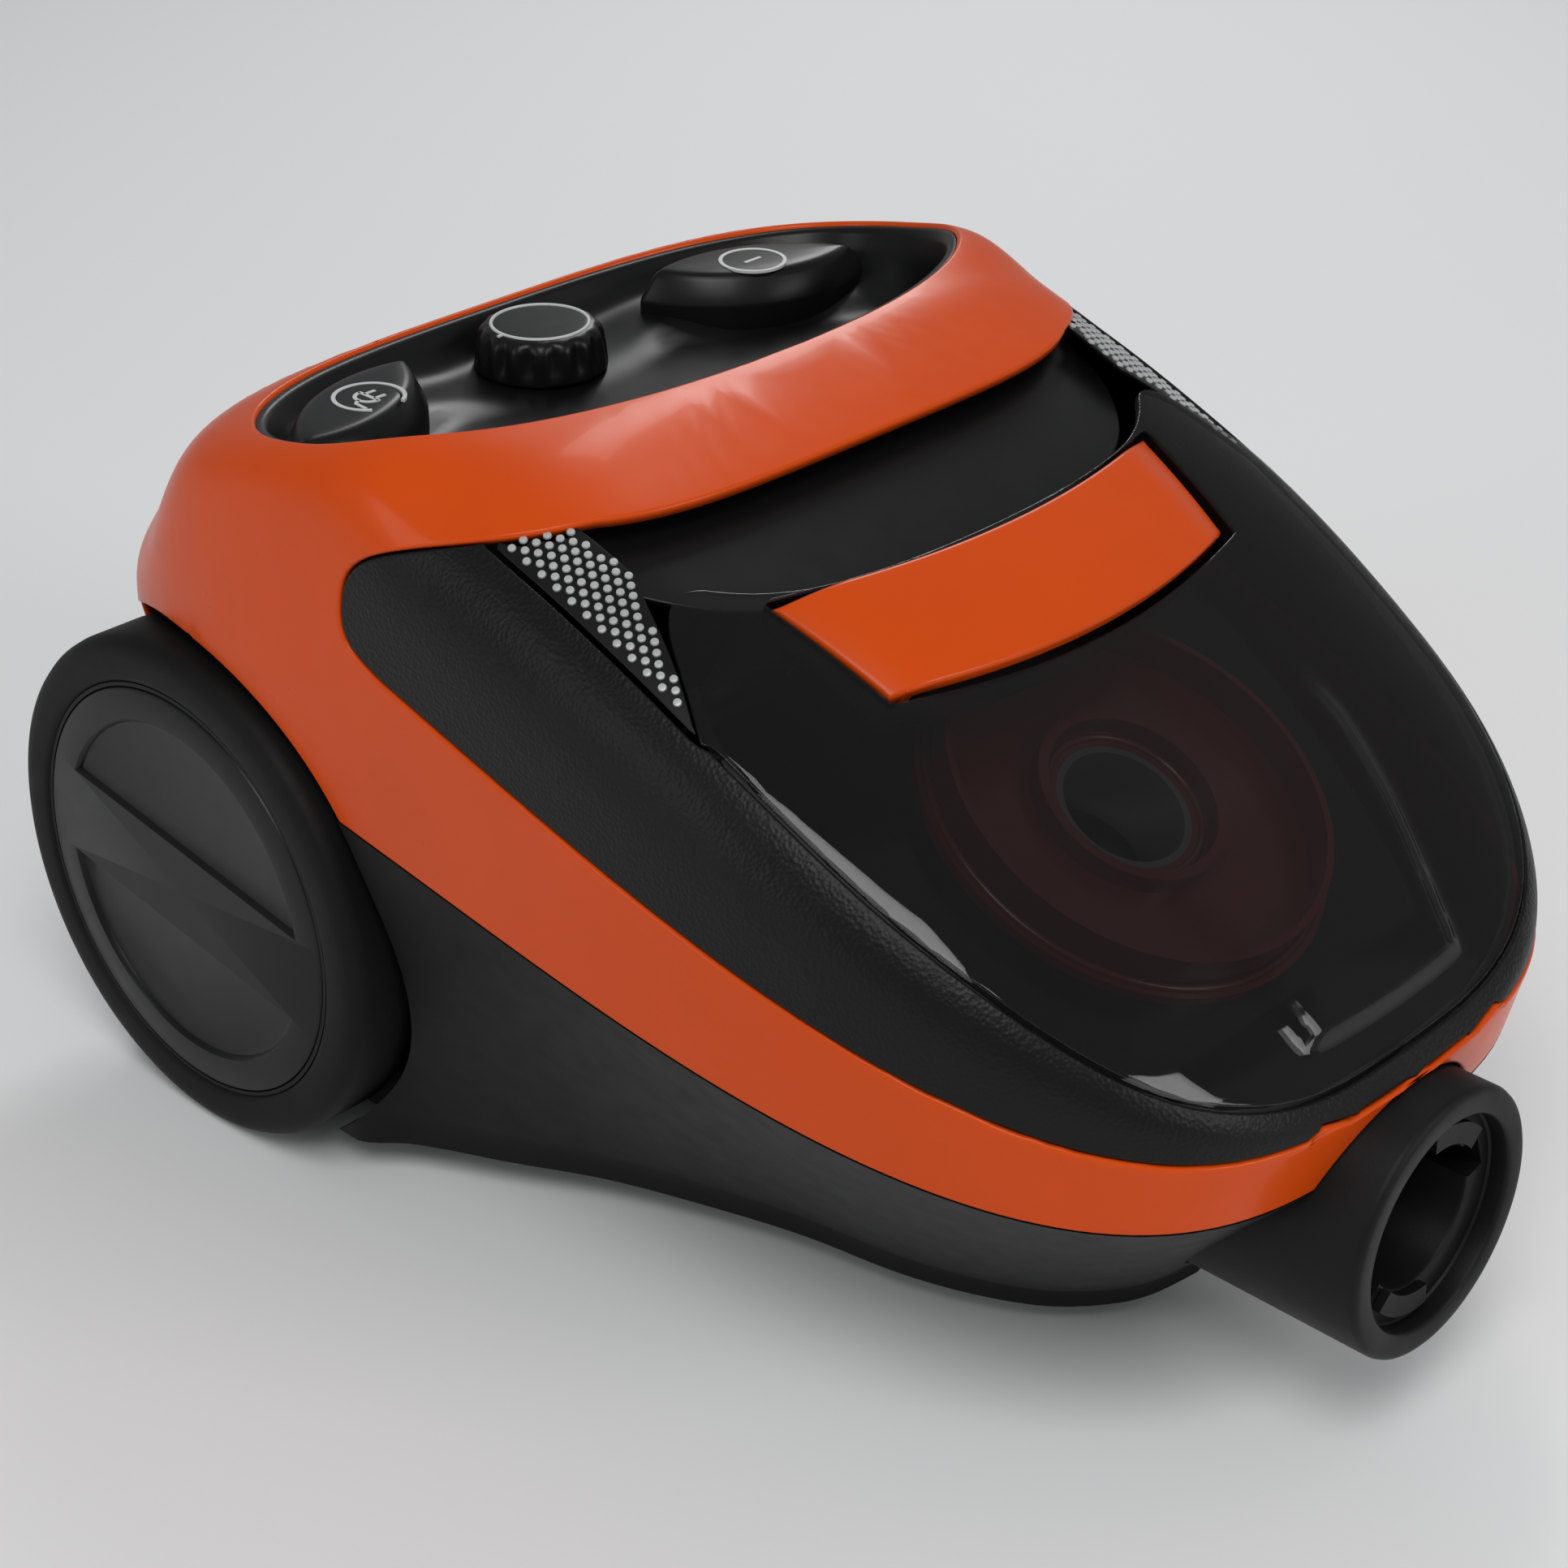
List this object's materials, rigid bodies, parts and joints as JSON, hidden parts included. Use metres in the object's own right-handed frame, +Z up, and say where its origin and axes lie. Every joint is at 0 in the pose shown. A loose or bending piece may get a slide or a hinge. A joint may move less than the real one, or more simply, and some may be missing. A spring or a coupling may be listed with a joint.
{
  "type": "canister vacuum cleaner",
  "caption": "Bagless canister vacuum cleaner on two large rear wheels and a front caster, with a nose hose port, lift-out clear cyclone bin, carry handle and top control panel.",
  "frame": {"origin": "on the floor under the middle of the bounding box", "axes": "+Z up, the hose port at the nose points along -Y, +X to the right when seen from the port end looking back along +Y"},
  "size_m": [0.272, 0.4375, 0.2438],
  "materials": {
    "orange_gloss": "glossy injection-moulded",
    "black_matte": "fine matte",
    "black_textured": "pebbled satin",
    "black_satin": "satin",
    "silver_grille": "silver paint on plastic, perforated",
    "tyre_rubber": "matte",
    "smoke_clear": "smoke-tinted transparent plastic",
    "seal_rubber": "matte",
    "grey_plastic": "plain moulded",
    "red_plastic": "glossy dark red",
    "filter_foam": "open-cell foam and pleated paper",
    "steel": "plain",
    "aluminium_fan": "stamped",
    "copper_windings": "enamelled windings on a steel stack",
    "white_mark": "printed white",
    "board_green": "coated circuit board"
  },
  "bodies": {
    "chassis": {"base_shell": "black_matte", "upper_shell": "orange_gloss", "side_cover": "black_textured", "neck_cover": "black_satin", "control_panel": "black_satin", "left_grille": "silver_grille", "right_grille": "silver_grille", "inlet_port": "black_matte", "inlet_seal": "seal_rubber", "bulkhead": "grey_plastic", "outlet_seal": "seal_rubber", "filter_frame": "grey_plastic", "foam_filter": "filter_foam", "left_axle": "steel", "left_axle_clip": "steel", "right_axle": "steel", "right_axle_clip": "steel", "potentiometer": "grey_plastic", "power_spring": "steel", "power_switch": "grey_plastic", "rewind_spring": "steel", "circuit_board": "board_green", "motor_housing": "grey_plastic", "motor_end_cap": "steel", "motor_stator": "copper_windings", "motor_bearings": "steel", "motor_mounts": "seal_rubber", "reel_frame": "steel", "reel_spring_case": "steel", "cord_bush": "black_matte", "screws": "steel"},
    "left_wheel": {"left_wheel": "black_matte", "left_tyre": "tyre_rubber", "left_hubcap": "black_satin"},
    "right_wheel": {"right_wheel": "black_matte", "right_tyre": "tyre_rubber", "right_hubcap": "black_satin"},
    "caster": {"caster_fork": "black_matte", "caster_axle": "steel"},
    "caster_wheel": {"caster_wheel": "tyre_rubber"},
    "bin": {"bin_cup": "smoke_clear", "cover_gasket": "seal_rubber", "cyclone_lid": "red_plastic", "cyclone_tube": "grey_plastic", "cyclone_shroud": "steel", "cyclone_cone": "grey_plastic"},
    "cover": {"bin_cover": "smoke_clear"},
    "handle": {"bin_handle": "orange_gloss", "handle_pins": "steel"},
    "knob": {"suction_knob": "black_satin", "knob_ring": "white_mark"},
    "power_button": {"power_button": "black_satin"},
    "rewind_button": {"rewind_button": "black_satin"},
    "rotor": {"rotor": "steel", "fan_impeller": "aluminium_fan"},
    "reel": {"reel_drum": "grey_plastic"},
    "brake": {"brake_lever": "steel", "brake_shoe": "seal_rubber"},
    "exhaust": {"exhaust_cover": "black_matte", "exhaust_filter": "filter_foam"}
  },
  "joints": [
    {"name": "left_wheel_spin", "type": "hinge", "parent": "chassis", "child": "left_wheel", "pos_m": [-0.123, 0.133, 0.08], "axis": [1, 0, 0], "continuous": true},
    {"name": "right_wheel_spin", "type": "hinge", "parent": "chassis", "child": "right_wheel", "pos_m": [0.123, 0.133, 0.08], "axis": [1, 0, 0], "continuous": true},
    {"name": "caster_swivel", "type": "hinge", "parent": "chassis", "child": "caster", "pos_m": [0, -0.08, 0.04], "axis": [0, 0, 1], "continuous": true},
    {"name": "caster_roll", "type": "hinge", "parent": "caster", "child": "caster_wheel", "pos_m": [0, -0.071, 0.014], "axis": [1, 0, 0], "continuous": true},
    {"name": "bin_lift", "type": "slide", "parent": "chassis", "child": "bin", "axis": [0, -0.5, 0.866], "range_m": [0, 0.16]},
    {"name": "cover_lift", "type": "slide", "parent": "bin", "child": "cover", "axis": [0, -0.5, 0.866], "range_m": [0, 0.06]},
    {"name": "handle_release", "type": "hinge", "parent": "cover", "child": "handle", "pos_m": [0, -0.08162, 0.19537], "axis": [1, 0, 0], "range_deg": [0, 8], "stiffness_Nm_per_rad": 0.6, "springref_deg": -28.65},
    {"name": "knob_turn", "type": "hinge", "parent": "chassis", "child": "knob", "pos_m": [0, 0.116, 0.22], "axis": [0, 0, 1], "range_deg": [-135, 135]},
    {"name": "power_press", "type": "slide", "parent": "chassis", "child": "power_button", "axis": [0, 0, -1], "range_m": [0, 0.003], "stiffness_N_per_m": 500, "springref_m": -0.004, "deforming": ["power_spring"]},
    {"name": "rewind_press", "type": "slide", "parent": "chassis", "child": "rewind_button", "axis": [0, 0, -1], "range_m": [0, 0.003], "stiffness_N_per_m": 500, "springref_m": -0.004, "deforming": ["rewind_spring"]},
    {"name": "brake_tilt", "type": "hinge", "parent": "chassis", "child": "brake", "pos_m": [-0.049, 0.13, 0.176], "axis": [1, 0, 0], "range_deg": [0, 7.2]},
    {"name": "rotor_spin", "type": "hinge", "parent": "chassis", "child": "rotor", "pos_m": [0.027, 0.11, 0.092], "axis": [0, 1, 0], "continuous": true},
    {"name": "reel_spin", "type": "hinge", "parent": "chassis", "child": "reel", "pos_m": [-0.06, 0.118, 0.1], "axis": [1, 0, 0], "continuous": true},
    {"name": "exhaust_pull", "type": "slide", "parent": "chassis", "child": "exhaust", "axis": [0, 1, 0], "range_m": [0, 0.05]}
  ],
  "couplings": [
    {"joint": "brake_tilt", "follows": "rewind_press", "rad_per_m": 40}
  ]
}
